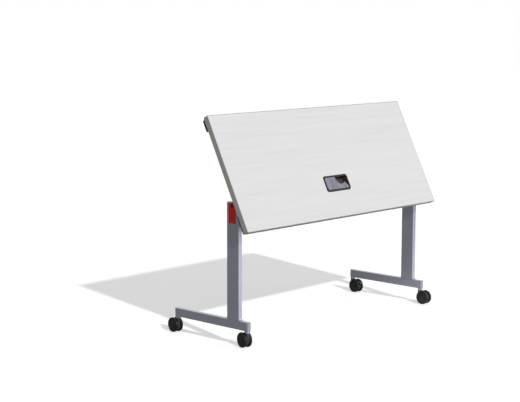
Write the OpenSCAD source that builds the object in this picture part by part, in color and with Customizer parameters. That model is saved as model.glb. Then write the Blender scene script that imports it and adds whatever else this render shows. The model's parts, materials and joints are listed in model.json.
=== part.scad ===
// Flip-top nesting training table, drawn stowed with its worktop tilted up.
// X runs along the worktop, Z is up, and the working side of the stowed top faces -Y.

/* [Worktop] */
// Length of the worktop
top_len = 1524; // [1200:1:1830]
// Width of the worktop
top_wid = 610; // [580:1:640]
// Thickness of the worktop with both of its faces
top_thick = 28.6; // [24:0.1:34]
// Thickness of the laminate on the working side
laminate_t = 1; // [0.6:0.1:1.6]
// Thickness of the backing sheet
backer_t = 0.8; // [0.5:0.1:1.5]
// Thickness of the edge band
band_t = 3; // [2:0.1:4]
// Rounding along the two arrises of the edge band
band_arris_r = 1.5; // [0.5:0.1:1.8]
// Radius of the worktop's corners
corner_r = 6; // [5:0.5:20]

/* [Stance] */
// Height of the working surface when the top is level
use_h = 768; // [700:1:800]
// Tilt of the stowed top from level
stow_tilt = 63.5; // [60:0.5:66]
// From the short edge of the worktop to the pivot line
short_side = 162; // [150:1:172]
// From the pivot line to the underside of the worktop
pivot_to_under = 49; // [49:0.5:56]
// From the end of the worktop to the outer face of a leg
end_overhang = 40; // [34:1:80]

/* [Leg column] */
// Width of the column tube along the table
column_w = 25; // [25:0.5:30]
// Depth of the column tube
column_d = 80; // [78:1:90]
// Wall of the column tube
column_wall = 2.5; // [2:0.1:3]
// Outer radius of the edges of the column and the foot
tube_edge_r = 3; // [1:0.1:4]
// From the front face of the column to the pivot
pivot_back = 43; // [42:0.5:43.5]
// From the top of the column down to the pivot
pivot_drop = 14; // [13.5:0.1:14.5]
// Height of the moulded cap above the column
head_cap_h = 5; // [3:0.1:6]

/* [Foot] */
// Height of the foot tube
foot_h = 44; // [38:0.5:55]
// Wall of the foot tube
foot_wall = 2.5; // [2:0.1:3.5]
// Reach of the foot in front of the column
foot_front = 60; // [50:1:90]
// Length of the foot from end to end
foot_len = 510; // [460:1:560]
// Length of an end cap outside the tube
foot_cap_len = 8; // [7:0.5:12]
// Length of an end cap inside the tube
foot_plug_len = 24; // [20:1:32]
// Rounding of an end cap's upright edges
foot_cap_r = 6; // [3:0.5:7]
// Weld fillet in front of the column
front_fillet_r = 12; // [6:0.5:16]
// Weld fillet behind the column
rear_fillet_r = 5; // [3:0.5:10]

/* [Tilt bracket] */
// Thickness of the bracket's arm
arm_t = 6.2; // [5:0.1:6.6]
// Width of the arm
arm_w = 16; // [12:0.5:17]
// Radius of the arm's hub
hub_r = 12; // [10:0.5:12.5]
// Radius of the locking sector
sector_r = 21; // [20:0.5:22.5]
// Thickness of the mounting plate
plate_t = 3; // [2.5:0.1:3.2]
// Length of the mounting plate
plate_len = 150; // [130:1:170]
// Width of the mounting plate
plate_w = 56; // [48:1:60]
// Depth of the plate's stiffening lips
plate_lip = 8; // [4:0.5:10]
// Diameter of the screws into the worktop
plate_screw_d = 4.8; // [4:0.1:6]

/* [Pivot and lock] */
// Diameter of the pivot pin
pin_d = 8; // [6:0.5:8.5]
// Diameter of the pivot pin's head
pin_head_d = 10; // [9:0.5:12]
// From the pivot to the lock holes
lock_hole_r = 14.5; // [14:0.5:15.5]
// Diameter of the lock pegs
peg_d = 7; // [5:0.5:7.5]
// Inward travel of the lock panel
lock_travel = 3.5; // [2.5:0.1:3.7]
// Width of the red lock panel
panel_w = 47; // [44:0.5:54]
// Height of the red lock panel
panel_h = 98; // [92:0.5:110]
// Thickness of the red lock panel
panel_t = 2.5; // [2:0.1:2.7]
// Width of the notch at the panel's top
notch_w = 15; // [13:0.5:17]
// Depth of the notch at the panel's top
notch_depth = 22.5; // [22:0.5:24]

/* [Crossbar] */
// Depth of the crossbar, front to back
crossbar_d = 50; // [40:1:60]
// Height of the crossbar
crossbar_h = 25; // [20:1:30]
// Wall of the crossbar tube
crossbar_wall = 2; // [1.5:0.1:3]
// From the pivot line down to the top of the crossbar
crossbar_drop = 48; // [47:1:60]
// Thickness of the end flanges
flange_t = 5; // [4:0.5:8]
// From the crossbar's top and bottom to the bolts
bolt_offset = 9; // [9:0.5:12]
// Diameter of the flange bolts
bolt_d = 6; // [5:0.5:8]

/* [Casters] */
// Wheel diameter
wheel_d = 75; // [70:1:85]
// Width of one wheel
wheel_w = 13; // [11:0.5:16]
// Radius of the tread's outer arris
tread_r = 4; // [2:0.5:5]
// Width of the swivel body between the wheels
body_w = 18; // [17.5:0.5:22]
// Trail of the axle behind the stem
trail = 26; // [22:0.5:28]
// From the end of the foot to a caster stem
stem_inset = 13; // [13:0.5:16]
// Diameter of the stem in its socket
stem_d = 11; // [10:0.5:12]
// Outer diameter of the stem socket
socket_d = 26; // [22:0.5:26]
// Height of the stem socket below the foot
socket_h = 9.2; // [6:0.1:14]
// Diameter of the axles
axle_d = 8; // [6:0.5:10]
// Reach of the brake pedal from the axle
pedal_reach = 44; // [42:0.5:48]
// Heading of the front left caster
yaw_front_left = -14; // [-180:1:180]
// Heading of the front right caster
yaw_front_right = 180; // [-180:1:180]
// Heading of the rear left caster
yaw_rear_left = -8; // [-180:1:180]
// Heading of the rear right caster
yaw_rear_right = 174; // [-180:1:180]

/* [Power module] */
// Length of the bezel
bezel_len = 192; // [160:1:220]
// Width of the bezel
bezel_wid = 88; // [80:1:100]
// Corner radius of the bezel
bezel_r = 16; // [12:0.5:18]
// Width of the bezel's rim
bezel_rim = 10; // [7:0.5:10]
// Height of the bezel above the worktop
bezel_h = 3; // [2.8:0.1:4]
// From the short edge of the worktop to the module's middle
module_from_edge = 183; // [168:1:230]
// Depth of the housing below the underside
tub_below = 38; // [34:1:42]
// Wall of the housing
tub_wall = 2.5; // [2:0.1:3]
// Thickness of the lid
lid_t = 2.4; // [2:0.1:2.6]
// Radius of the lid's hinge barrel
lid_barrel_r = 2.2; // [2:0.1:2.4]
// Diameter of the lid's hinge pin
lid_pin_d = 2.4; // [1.6:0.1:2.8]
// Radius of the finger and cord notch in the lid
lid_notch_r = 37; // [24:0.5:38]
// From the module's middle along the table to the notch
lid_notch_x = 33; // [20:1:38]
// From the lid's free edge down to the notch's middle
lid_notch_drop = 5; // [0:0.5:8]
// From the worktop's surface down to the outlet plate
outlet_depth = 30; // [26:1:36]
// Side of a receptacle's square face
receptacle_side = 34; // [30:1:38]
// Diameter of the cord gland's bore
gland_bore = 8; // [5:0.5:9]
// From the module's middle along the table to the cord gland
gland_x = 50; // [30:1:60]

/* [Bumpers] */
// Length of the bumpers near the long edge
rear_bumper_len = 67; // [40:1:80]
// Height of the bumpers near the long edge
rear_bumper_h = 16; // [8:0.5:18]
// Length of the bumpers near the short edge
front_bumper_len = 110; // [80:1:120]
// Height of the bumpers near the short edge
front_bumper_h = 10; // [6:0.5:12]
// Width of the bumpers
bumper_w = 18; // [14:0.5:22]
// From the end of the worktop to a bumper
bumper_inset = 6; // [3:0.5:9]
// From the long edge of the worktop to the bumper near it
rear_bumper_edge = 8; // [4:0.5:16]
// From the short edge of the worktop to the bumper near it
front_bumper_edge = 2; // [2:0.5:10]

/* [Clearances] */
// Gap between a moving piece and its neighbour
move_gap = 0.4; // [0.3:0.05:0.5]
// Radial gap of a pin, screw or axle in its bore
bore_gap = 0.05; // [0.03:0.01:0.1]
// Gap round a piece that sits in a cut-out
seat_gap = 0.2; // [0.1:0.05:0.3]

/* [Hidden] */
$fn = 48;

// Heights
wheel_r = wheel_d / 2;
wheel_top_gap = 0.8;
socket_z = wheel_d + wheel_top_gap;
foot_z = socket_z + socket_h;
foot_top_z = foot_z + foot_h;
pivot_z = use_h - top_thick - pivot_to_under;
column_top_z = pivot_z + pivot_drop;

// Along the table
outer_x = top_len / 2 - end_overhang;
leg_x = outer_x - column_w / 2;

// The worktop's section, from the pivot line: a along the tilted top, b square to it
surface_b = pivot_to_under + top_thick;
long_side = top_wid - short_side;
top_mid_a = (long_side - short_side) / 2;

// Front to back from the column's front face; y0 then centres the stowed table on zero
front_stem = -foot_front + stem_inset;
rear_stem = foot_len - foot_front - stem_inset;
wheel_side = body_w / 2 + move_gap;
wheel_out = wheel_side + wheel_w;
pedal_half = 8;
function wheel_reach(yaw) =
    (wheel_r - tread_r) * abs(cos(yaw)) + (wheel_out - tread_r) * abs(sin(yaw)) + tread_r;
function caster_front(yaw) = trail * cos(yaw) - wheel_reach(yaw);
function caster_back(yaw) = trail * cos(yaw) + wheel_reach(yaw);
function pedal_back(yaw) = (trail + pedal_reach) * cos(yaw) + pedal_half * abs(sin(yaw));
top_front = pivot_back - (short_side - band_arris_r) * cos(stow_tilt)
    - (surface_b - band_arris_r) * sin(stow_tilt) - band_arris_r;
reach_front = min(top_front, front_stem + min(caster_front(yaw_front_left), caster_front(yaw_front_right)));
reach_back = rear_stem + max(caster_back(yaw_rear_left), caster_back(yaw_rear_right),
    pedal_back(yaw_rear_left), pedal_back(yaw_rear_right));
y0 = -(reach_front + reach_back) / 2;
pivot_y = y0 + pivot_back;

// Inside the column's head, measured inward from its outer face
arm_in = (column_w - arm_t) / 2;
outer_cheek_in = panel_t + lock_travel + 1;
inner_cheek_in = arm_in + arm_t + move_gap;
inner_wall_in = column_w - column_wall;

// Frames
module on_side(side) mirror([side == "right" ? 1 : 0, 0, 0]) children();
module on_top() translate([0, pivot_y, pivot_z]) rotate([stow_tilt, 0, 0]) children();
module at_leg() translate([-outer_x, y0, 0]) children();
module at_head() translate([-outer_x, pivot_y, pivot_z]) children();
module both_sides() for (s = [-1, 1]) scale([s, 1, 1]) children();
module along_x() rotate([90, 0, 90]) children();
module x_rod(d, from, to) translate([from, 0, 0]) rotate([0, 90, 0]) cylinder(d = d, h = to - from);

// Plain forms
module rounded_rect(x, y, r) {
    square([x - 2 * r, y], center = true);
    square([x, y - 2 * r], center = true);
    for (i = [-1, 1], j = [-1, 1]) translate([i * (x / 2 - r), j * (y / 2 - r)]) circle(r);
}
// A closed frame whose section is the child: x runs outward from the frame's inner edge
module ring_of(x, y, r, depth) {
    for (i = [0:3]) {
        run = (i % 2 == 0 ? x : y) - 2 * r;
        out = (i % 2 == 0 ? y : x) / 2 - depth;
        sx = (i == 0 || i == 3) ? 1 : -1;
        sy = i < 2 ? 1 : -1;
        translate([sx * (x / 2 - r), sy * (y / 2 - r), 0])
            rotate(90 * i) rotate_extrude(angle = 90) translate([r - depth, 0]) children();
        rotate(90 * i) translate([-run / 2, out, 0]) along_x() linear_extrude(run) children();
    }
}
module tube_2d(x, y, wall) {
    difference() {
        rounded_rect(x, y, tube_edge_r);
        rounded_rect(x - 2 * wall, y - 2 * wall, max(tube_edge_r - wall, 0.4));
    }
}
// A pan-head screw whose shank runs up from the origin
module pan_screw(d, len) {
    cylinder(d = d, h = len);
    translate([0, 0, -d * 0.55]) cylinder(d1 = d * 1.4, d2 = d * 1.9, h = d * 0.55);
}

// Power module, from its middle on the working surface
module_a = module_from_edge - short_side;
inner_x = bezel_len - 2 * bezel_rim;
inner_a = bezel_wid - 2 * bezel_rim;
inner_r = bezel_r - bezel_rim;
tub_gap = 0.8;
tub_x = inner_x + 2 * (tub_gap + tub_wall);
tub_a = inner_a + 2 * (tub_gap + tub_wall);
tub_r = inner_r + tub_gap + tub_wall;
lid_x = inner_x - 2 * move_gap;
lid_a = inner_a - 2 * move_gap;
lid_top = bezel_h - 0.4;
hinge_set = 0.3;
lid_pin_a = -lid_a / 2 + lid_barrel_r + hinge_set;
lid_pin_z = lid_top - lid_barrel_r;
ear_x = inner_x / 2 - 28;
ear_w = 5;
rest_w = 12;
rest_spots = [rest_w + 4 - inner_x / 2, lid_notch_x - lid_notch_r - rest_w / 2 - 4];
rest_reach = 3;
rest_t = 2;
ledge = 2;
plate_top = -outlet_depth;
outlet_plate_t = 3;
gland_z = -top_thick - tub_below + 14;
module at_module() on_top() translate([0, module_a, surface_b]) children();
module tub_outline(extra) rounded_rect(tub_x + 2 * extra, tub_a + 2 * extra, tub_r + extra);

// Worktop
plate_b = pivot_to_under - plate_t;
plate_screw_len = plate_t + backer_t + 16;
bumper_screw_d = 4;
bumper_screw_len = 14;
bumper_seat = 3;
rear_bumper_a = long_side - rear_bumper_edge - rear_bumper_len / 2;
front_bumper_a = -short_side + front_bumper_edge + front_bumper_len / 2;
bumper_x = top_len / 2 - bumper_inset - bumper_w / 2;
plate_half = min(plate_w / 2, bumper_x - bumper_w / 2 - move_gap - leg_x);
module plate_screw_spots() {
    for (i = [-1, 1], a = [-1, -0.4, 1])
        translate([i * (plate_half - 12), a * (plate_len / 2 - 14), plate_b]) children();
}
module bumper_screw_spots(a, len) {
    for (k = [-1, 1]) translate([-bumper_x, a + k * len / 4, pivot_to_under - bumper_seat]) children();
}
module every_plate_screw() both_sides() translate([-leg_x, 0, 0]) plate_screw_spots() children();
module every_bumper_screw() {
    both_sides() {
        bumper_screw_spots(rear_bumper_a, rear_bumper_len) children();
        bumper_screw_spots(front_bumper_a, front_bumper_len) children();
    }
}
module screw_bore(d, len) translate([0, 0, -1]) cylinder(d = d + 2 * bore_gap, h = len + 1 + bore_gap);
module sheet(from, t) {
    on_top() difference() {
        translate([0, 0, from]) linear_extrude(t) difference() {
            translate([0, top_mid_a])
                rounded_rect(top_len - 2 * band_t, top_wid - 2 * band_t, corner_r - band_t);
            translate([0, module_a]) tub_outline(seat_gap);
        }
        every_plate_screw() screw_bore(plate_screw_d, plate_screw_len);
        every_bumper_screw() screw_bore(bumper_screw_d, bumper_screw_len);
    }
}
module worktop_core() {
    color("burlywood") sheet(pivot_to_under + backer_t, top_thick - backer_t - laminate_t);
}
module worktop_backer() color("gray") sheet(pivot_to_under, backer_t);
module worktop_laminate() color("whitesmoke") sheet(surface_b - laminate_t, laminate_t);
module band_2d() {
    r = band_arris_r;
    square([band_t - r, top_thick]);
    translate([0, r]) square([band_t, top_thick - 2 * r]);
    for (z = [r, top_thick - r]) translate([band_t - r, z]) circle(r);
}
module edge_band() {
    color("rosybrown") on_top() translate([0, top_mid_a, pivot_to_under])
        ring_of(top_len, top_wid, corner_r, band_t) band_2d();
}

// Bumpers under the worktop's corners
module bumper(side, a, len, h, ramp) {
    low_ramp = h * 0.3;
    color("dimgray") on_side(side) on_top() difference() {
        translate([-bumper_x - bumper_w / 2, a, pivot_to_under]) along_x() linear_extrude(bumper_w)
            polygon([[-len / 2, 0], [len / 2, 0], [len / 2 - ramp, -h], [low_ramp - len / 2, -h]]);
        bumper_screw_spots(a, len) {
            screw_bore(bumper_screw_d, bumper_screw_len);
            translate([0, 0, -h]) cylinder(d = 2 * bumper_screw_d + 1, h = h);
        }
    }
}
module rear_bumper(side) bumper(side, rear_bumper_a, rear_bumper_len, rear_bumper_h, 6);
module front_bumper(side) bumper(side, front_bumper_a, front_bumper_len, front_bumper_h, 22);
module bumper_screws() {
    color("silver") on_top() every_bumper_screw() pan_screw(bumper_screw_d, bumper_screw_len);
}

// Tilt brackets: plate, arm, hub and locking sector in one welded piece
module sector_2d() {
    circle(hub_r);
    margin = 18;
    intersection() {
        circle(sector_r);
        polygon([
            [0, 0],
            for (i = [0:4]) let (t = 270 + margin - i * (stow_tilt + 2 * margin) / 4)
                2 * sector_r * [cos(t), sin(t)],
        ]);
    }
}
module arm_2d() {
    toe = 10;
    heel = 34;
    sector_2d();
    polygon([
        [-arm_w / 2, 0], [-arm_w / 2, plate_b - toe / 5], [-arm_w / 2 - toe, plate_b],
        [arm_w / 2 + heel, plate_b], [arm_w / 2, plate_b / 2], [arm_w / 2, 0],
    ]);
}
module tilt_bracket(side) {
    color("dimgray") on_side(side) on_top() translate([-leg_x, 0, 0]) {
        translate([-arm_t / 2, 0, 0]) along_x() linear_extrude(arm_t) difference() {
            arm_2d();
            circle(d = pin_d + 2 * bore_gap);
            for (angle = [270 - stow_tilt, 270])
                translate(lock_hole_r * [cos(angle), sin(angle)]) circle(d = peg_d + 2 * move_gap);
        }
        difference() {
            translate([0, 0, plate_b]) linear_extrude(plate_t) rounded_rect(2 * plate_half, plate_len, 8);
            plate_screw_spots() screw_bore(plate_screw_d, plate_screw_len);
        }
        lip_len = plate_len - 24;
        for (x = [-plate_half, plate_half - 3])
            translate([x, -lip_len / 2, plate_b - plate_lip]) cube([3, lip_len, plate_lip + 1]);
    }
}
module bracket_screws() {
    color("silver") on_top() every_plate_screw() pan_screw(plate_screw_d, plate_screw_len);
}

// Power module
module power_bezel() {
    color("darkslategray") at_module() {
        ring_of(bezel_len, bezel_wid, bezel_r, bezel_rim) polygon([
            [0, 0], [bezel_rim, 0], [bezel_rim, bezel_h / 3],
            [bezel_rim - 1.5, bezel_h], [1.2, bezel_h], [0, bezel_h / 2],
        ]);
        root = tub_gap - seat_gap;
        for (s = [-1, 1]) {
            translate([s * ear_x - ear_w / 2, 0, 0]) difference() {
                union() {
                    translate([0, lid_pin_a, lid_pin_z]) x_rod(2 * lid_barrel_r, 0, ear_w);
                    translate([0, -inner_a / 2 - root, lid_pin_z - lid_barrel_r])
                        cube([ear_w, lid_pin_a + inner_a / 2 + root, 2 * lid_barrel_r]);
                }
                translate([-1, lid_pin_a, lid_pin_z]) x_rod(lid_pin_d + 2 * bore_gap, 0, ear_w + 2);
            }
        }
        for (x = rest_spots) translate([x - rest_w / 2, 0, lid_top - lid_t - move_gap - rest_t]) {
            translate([0, inner_a / 2 - rest_reach, 0]) cube([rest_w, rest_reach + root, rest_t]);
            translate([0, inner_a / 2, 0]) cube([rest_w, root, rest_t + 1]);
        }
    }
}
module lid_hinge_pin() {
    color("silver") at_module() translate([0, lid_pin_a, lid_pin_z])
        x_rod(lid_pin_d, -inner_x / 2 + inner_r + 1, inner_x / 2 - inner_r - 1);
}
// The notch runs out through the lid's end, and the corners by the hinge clear the bezel as the lid turns
module lid_notch_2d() {
    edge_a = lid_a / 2;
    end_drop = 64;
    middle = [lid_notch_x, edge_a - lid_notch_drop];
    translate(middle) circle(lid_notch_r);
    polygon([
        middle, [lid_notch_x, edge_a + 1], [lid_x, edge_a + 1], [lid_x / 2 + 1, edge_a - end_drop],
        middle + 0.99 * lid_notch_r * [cos(43), -sin(43)],
    ]);
}
module lid_corner_2d() {
    inner = inner_x / 2 - inner_r;
    for (s = [-1, 1]) polygon([
        [s * inner, -lid_a], [s * inner, lid_pin_a + 3], [s * (inner_x / 2), lid_pin_a + 3 + inner_r],
        [s * inner_x, lid_pin_a + 3 + inner_r], [s * inner_x, -lid_a],
    ]);
}
module power_lid() {
    barrel_end = inner_x / 2 - inner_r;
    ear_gap = ear_w / 2 + move_gap;
    color("lightsteelblue") at_module() difference() {
        union() {
            intersection() {
                translate([0, 0, lid_top - lid_t]) linear_extrude(lid_t)
                    rounded_rect(lid_x, lid_a, inner_r - move_gap);
                translate([-lid_x, lid_pin_a, -lid_t]) cube([2 * lid_x, lid_a, 3 * lid_t + bezel_h]);
            }
            translate([0, lid_pin_a, lid_pin_z]) x_rod(2 * lid_barrel_r, -barrel_end, barrel_end);
        }
        for (s = [-1, 1]) translate([s * ear_x - ear_gap, lid_pin_a - 2 * lid_barrel_r, -2 * lid_barrel_r])
            cube([2 * ear_gap, 3 * lid_barrel_r + 1, 4 * lid_barrel_r + bezel_h]);
        translate([0, lid_pin_a, lid_pin_z]) x_rod(lid_pin_d + 2 * bore_gap, -inner_x, inner_x);
        translate([0, 0, -2 * lid_t]) linear_extrude(4 * lid_t + bezel_h) {
            lid_notch_2d();
            lid_corner_2d();
        }
    }
}
gland_d = gland_bore + 6;
lower_wall = tub_wall + ledge;
module at_gland() at_module() translate([gland_x, tub_a / 2, gland_z]) rotate([0, 0, 90]) children();
module power_housing() {
    depth = top_thick + tub_below;
    color("dimgray") difference() {
        at_module() translate([0, 0, -depth]) difference() {
            linear_extrude(depth) tub_outline(0);
            translate([0, 0, tub_wall]) linear_extrude(depth) tub_outline(-lower_wall);
            translate([0, 0, depth + plate_top - outlet_plate_t])
                linear_extrude(depth) tub_outline(-tub_wall);
        }
        at_gland() x_rod(gland_d + 2 * bore_gap, -lower_wall - 1, 1);
        every_clamp() translate([0, 0, clamp_screw_z])
            x_rod(clamp_screw_d + 2 * bore_gap, -lower_wall - 1, 1);
    }
}
module receptacle_spots() for (s = [-1, 1]) translate([s * (receptacle_side / 2 + 8), 0]) children();
module outlet_plate() {
    hole = receptacle_side + 2 * seat_gap;
    color("black") at_module() translate([0, 0, plate_top - outlet_plate_t])
        linear_extrude(outlet_plate_t) difference() {
            tub_outline(-tub_wall - seat_gap);
            receptacle_spots() rounded_rect(hole, hole, 4);
        }
}
module receptacles() {
    body_h = 13;
    face_proud = 2;
    blade_apart = 12.6;
    slot_depth = 10;
    color("gray") at_module() receptacle_spots() difference() {
        translate([0, 0, plate_top - outlet_plate_t - body_h]) union() {
            linear_extrude(body_h + outlet_plate_t + face_proud)
                rounded_rect(receptacle_side, receptacle_side, 4 - seat_gap);
            linear_extrude(body_h) square(receptacle_side + 4, center = true);
        }
        translate([0, 0, plate_top + face_proud - slot_depth]) {
            for (s = [-1, 1]) translate([s * blade_apart / 2 - 1, -2, 0]) cube([2, 8, slot_depth + 1]);
            translate([0, -9, 0]) cylinder(d = 5, h = slot_depth + 1);
        }
    }
}
module cord_gland() {
    nut_t = 4;
    color("black") at_gland() difference() {
        union() {
            x_rod(gland_d, -lower_wall - nut_t - 1, 10);
            for (x = [0, -lower_wall - nut_t])
                translate([x, 0, 0]) rotate([0, 90, 0]) cylinder(d = gland_d + 6, h = nut_t, $fn = 6);
        }
        x_rod(gland_bore, -lower_wall - nut_t - 2, 11);
    }
}
clamp_w = 16;
clamp_t = 3;
clamp_reach = 14;
clamp_drop = 22;
clamp_screw_d = 4;
clamp_screw_z = -top_thick - clamp_drop + 6;
clamp_a = tub_a / 2 - tub_r - clamp_w / 2;
module every_clamp() {
    at_module() both_sides() for (a = [-clamp_a, clamp_a]) translate([tub_x / 2, a, 0]) children();
}
module housing_clamps() {
    color("silver") every_clamp() difference() {
        union() {
            translate([0, -clamp_w / 2, -top_thick - clamp_drop]) cube([clamp_t, clamp_w, clamp_drop]);
            translate([0, -clamp_w / 2, -top_thick - clamp_t]) cube([clamp_reach, clamp_w, clamp_t]);
        }
        translate([-1, 0, clamp_screw_z]) x_rod(clamp_screw_d + 2 * bore_gap, 0, clamp_t + 2);
    }
}
module clamp_screws() {
    color("silver") every_clamp() translate([clamp_t, 0, clamp_screw_z]) rotate([0, -90, 0])
        pan_screw(clamp_screw_d, clamp_t + lower_wall + 2);
}

// Legs
window_r = 2;
cradle_half = 16;
guide_half = 8;
web_top = -sector_r - 4.5;
web_t = 4;
guide_h = 18;
guide_z = pivot_drop - panel_h + 6;
guide_peg_z = guide_z + guide_h / 2;
slot_b = (pivot_back - column_wall - arm_w / 2 * cos(stow_tilt)) / sin(stow_tilt);
slot_z = slot_b * cos(stow_tilt) - arm_w / 2 * sin(stow_tilt) - 2;
bolt_y = 20;
bar_mid_y = column_d / 2;
bar_mid_z = pivot_z - crossbar_drop - crossbar_h / 2;
nut_h = 7;
module bolt_spots() {
    for (y = [-bolt_y, bolt_y], z = [-1, 1])
        translate([0, bar_mid_y + y, bar_mid_z + z * (crossbar_h / 2 + bolt_offset)]) children();
}
// The lock panel's outline, y across and z up from the pivot
module panel_2d(gap) {
    height = panel_h + gap + window_r;
    translate([0, pivot_drop - panel_h - gap + height / 2])
        rounded_rect(panel_w + 2 * gap, height, window_r);
}
module column(side) {
    color("lightslategray") on_side(side) difference() {
        at_leg() {
            translate([column_w / 2, column_d / 2, foot_top_z]) linear_extrude(column_top_z - foot_top_z)
                tube_2d(column_w, column_d, column_wall);
            bolt_spots() x_rod(2 * bolt_d, inner_wall_in - nut_h, inner_wall_in + 0.5);
        }
        at_leg() bolt_spots() x_rod(bolt_d + 2 * bore_gap, inner_wall_in - nut_h - 1, column_w + 1);
        at_head() {
            translate([-1, 0, 0]) along_x() linear_extrude(column_wall + 2) panel_2d(move_gap);
            translate([arm_in - 2 * move_gap, -pivot_back - 1, slot_z])
                cube([arm_t + 4 * move_gap, column_wall + 2, pivot_drop]);
        }
    }
}
module foot(side) {
    tube_len = foot_len - 2 * foot_cap_len;
    color("lightslategray") on_side(side) at_leg() {
        difference() {
            translate([column_w / 2, foot_len - foot_front - foot_cap_len, foot_z + foot_h / 2])
                rotate([90, 0, 0]) linear_extrude(tube_len) tube_2d(column_w, foot_h, foot_wall);
            socket_holes();
        }
        edge = 1;
        translate([edge, 0, foot_top_z]) along_x() linear_extrude(column_w - 2 * edge) {
            difference() {
                translate([-front_fillet_r, 0]) square(front_fillet_r);
                translate([-front_fillet_r, front_fillet_r]) circle(front_fillet_r);
            }
            translate([column_d, 0]) difference() {
                square(rear_fillet_r);
                translate([rear_fillet_r, rear_fillet_r]) circle(rear_fillet_r);
            }
        }
    }
}
sleeve_d = stem_d + 5;
sleeve_top = foot_top_z - foot_wall - 3;
module stem_spots() for (y = [front_stem, rear_stem]) translate([column_w / 2, y, 0]) children();
module socket_holes() {
    stem_spots() translate([0, 0, foot_z - 1])
        cylinder(d = sleeve_d + 2 * bore_gap, h = sleeve_top - foot_z + 1 + bore_gap);
}
// An end cap: y runs into the tube from the foot's end
module end_cap() {
    intersection() {
        union() {
            translate([0, foot_cap_r, foot_z]) cube([column_w, foot_cap_len - foot_cap_r, foot_h]);
            translate([foot_cap_r, 0, foot_z]) cube([column_w - 2 * foot_cap_r, foot_cap_len, foot_h]);
            for (x = [foot_cap_r, column_w - foot_cap_r])
                translate([x, foot_cap_r, foot_z]) cylinder(r = foot_cap_r, h = foot_h);
        }
        translate([column_w / 2, 0, foot_z + foot_h / 2]) rotate([-90, 0, 0])
            linear_extrude(foot_cap_len) rounded_rect(column_w, foot_h, tube_edge_r);
    }
    inset = foot_wall + seat_gap;
    translate([inset, foot_cap_len - 1, foot_z + inset])
        cube([column_w - 2 * inset, foot_plug_len + 1, foot_h - 2 * inset]);
}
module foot_end_caps() {
    color("slategray") both_sides() difference() {
        at_leg() {
            translate([0, -foot_front, 0]) end_cap();
            translate([0, foot_len - foot_front, 0]) mirror([0, 1, 0]) end_cap();
        }
        at_leg() socket_holes();
    }
}
module pivot_cradle(side) {
    color("silver") on_side(side) at_head() difference() {
        union() {
            for (part = [
                [inner_cheek_in, inner_wall_in, cradle_half, web_top - web_t, hub_r],
                [outer_cheek_in, arm_in - move_gap, cradle_half, web_top - web_t, hub_r],
                [outer_cheek_in, inner_wall_in, cradle_half, web_top - web_t, web_top],
                [inner_cheek_in, inner_wall_in, guide_half, guide_z, web_top],
                [arm_in - move_gap, inner_wall_in, guide_half, guide_z, guide_z + guide_h],
            ]) translate([part[0], -part[2], part[3]])
                cube([part[1] - part[0], 2 * part[2], part[4] - part[3]]);
        }
        x_rod(pin_d + 2 * bore_gap, 0, inner_cheek_in + 5);
        translate([0, 0, -lock_hole_r]) x_rod(peg_d + 2 * bore_gap, 0, arm_in);
        translate([0, 0, guide_peg_z]) x_rod(peg_d + 2 * bore_gap, 0, inner_wall_in - 1);
    }
}
module pivot_pin(side) {
    color("black") on_side(side) at_head() {
        x_rod(pin_head_d, 1, outer_cheek_in - bore_gap);
        x_rod(pin_d, outer_cheek_in - 1, inner_cheek_in + 5 - bore_gap);
    }
}
module head_cap(side) {
    front = pivot_back + 2;
    slot_end = pivot_back + arm_w / 2 + 1.5;
    plug_front = pivot_back + cradle_half + 1;
    color("silver") on_side(side) at_leg() translate([0, 0, column_top_z]) {
        linear_extrude(head_cap_h) difference() {
            intersection() {
                translate([column_w / 2, column_d / 2]) rounded_rect(column_w, column_d, tube_edge_r);
                translate([0, front]) square([column_w, column_d]);
            }
            translate([arm_in - 1, 0]) square([arm_t + 2, slot_end]);
        }
        plug_in = outer_cheek_in + 1;
        plug_back = column_d - column_wall - seat_gap;
        translate([plug_in, plug_front, -8])
            cube([inner_wall_in - seat_gap - plug_in, plug_back - plug_front, 9]);
    }
}
module lock_panel(side) {
    color("firebrick") on_side(side) at_head() {
        along_x() linear_extrude(panel_t) difference() {
            intersection() {
                panel_2d(0);
                translate([-panel_w, -panel_h]) square([2 * panel_w, panel_h + pivot_drop - move_gap]);
            }
            translate([0, pivot_drop - notch_depth + notch_w / 2]) {
                circle(d = notch_w);
                translate([-notch_w / 2, 0]) square([notch_w, notch_depth]);
            }
        }
        translate([0, 0, -lock_hole_r]) x_rod(peg_d, panel_t - 0.5, arm_in - move_gap);
        translate([0, 0, guide_peg_z]) x_rod(peg_d, panel_t - 0.5, inner_wall_in - lock_travel - 2);
        for (y = [-1, 1]) translate([panel_t - 0.5, y * (panel_w / 2 - 6) - 1, guide_z])
            cube([2, 2, web_top - 8 - guide_z]);
    }
}

// Crossbar between the legs
module crossbar() {
    half = outer_x - column_w - flange_t;
    color("lightslategray") translate([-half, y0 + bar_mid_y, bar_mid_z]) along_x()
        linear_extrude(2 * half) tube_2d(crossbar_d, crossbar_h, crossbar_wall);
}
module crossbar_flange(side) {
    color("lightslategray") on_side(side) at_leg() difference() {
        translate([column_w, bar_mid_y, bar_mid_z]) along_x() linear_extrude(flange_t)
            rounded_rect(2 * bolt_y + 16, crossbar_h + 2 * bolt_offset + 16, 5);
        bolt_spots() x_rod(bolt_d + 2 * bore_gap, column_w - 1, column_w + flange_t + 1);
    }
}
module flange_bolts() {
    color("silver") both_sides() at_leg() bolt_spots() {
        x_rod(bolt_d, inner_wall_in - nut_h, column_w + flange_t);
        translate([column_w + flange_t, 0, 0]) rotate([0, 90, 0])
            cylinder(d = 1.8 * bolt_d, h = 0.65 * bolt_d, $fn = 6);
    }
}

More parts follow.
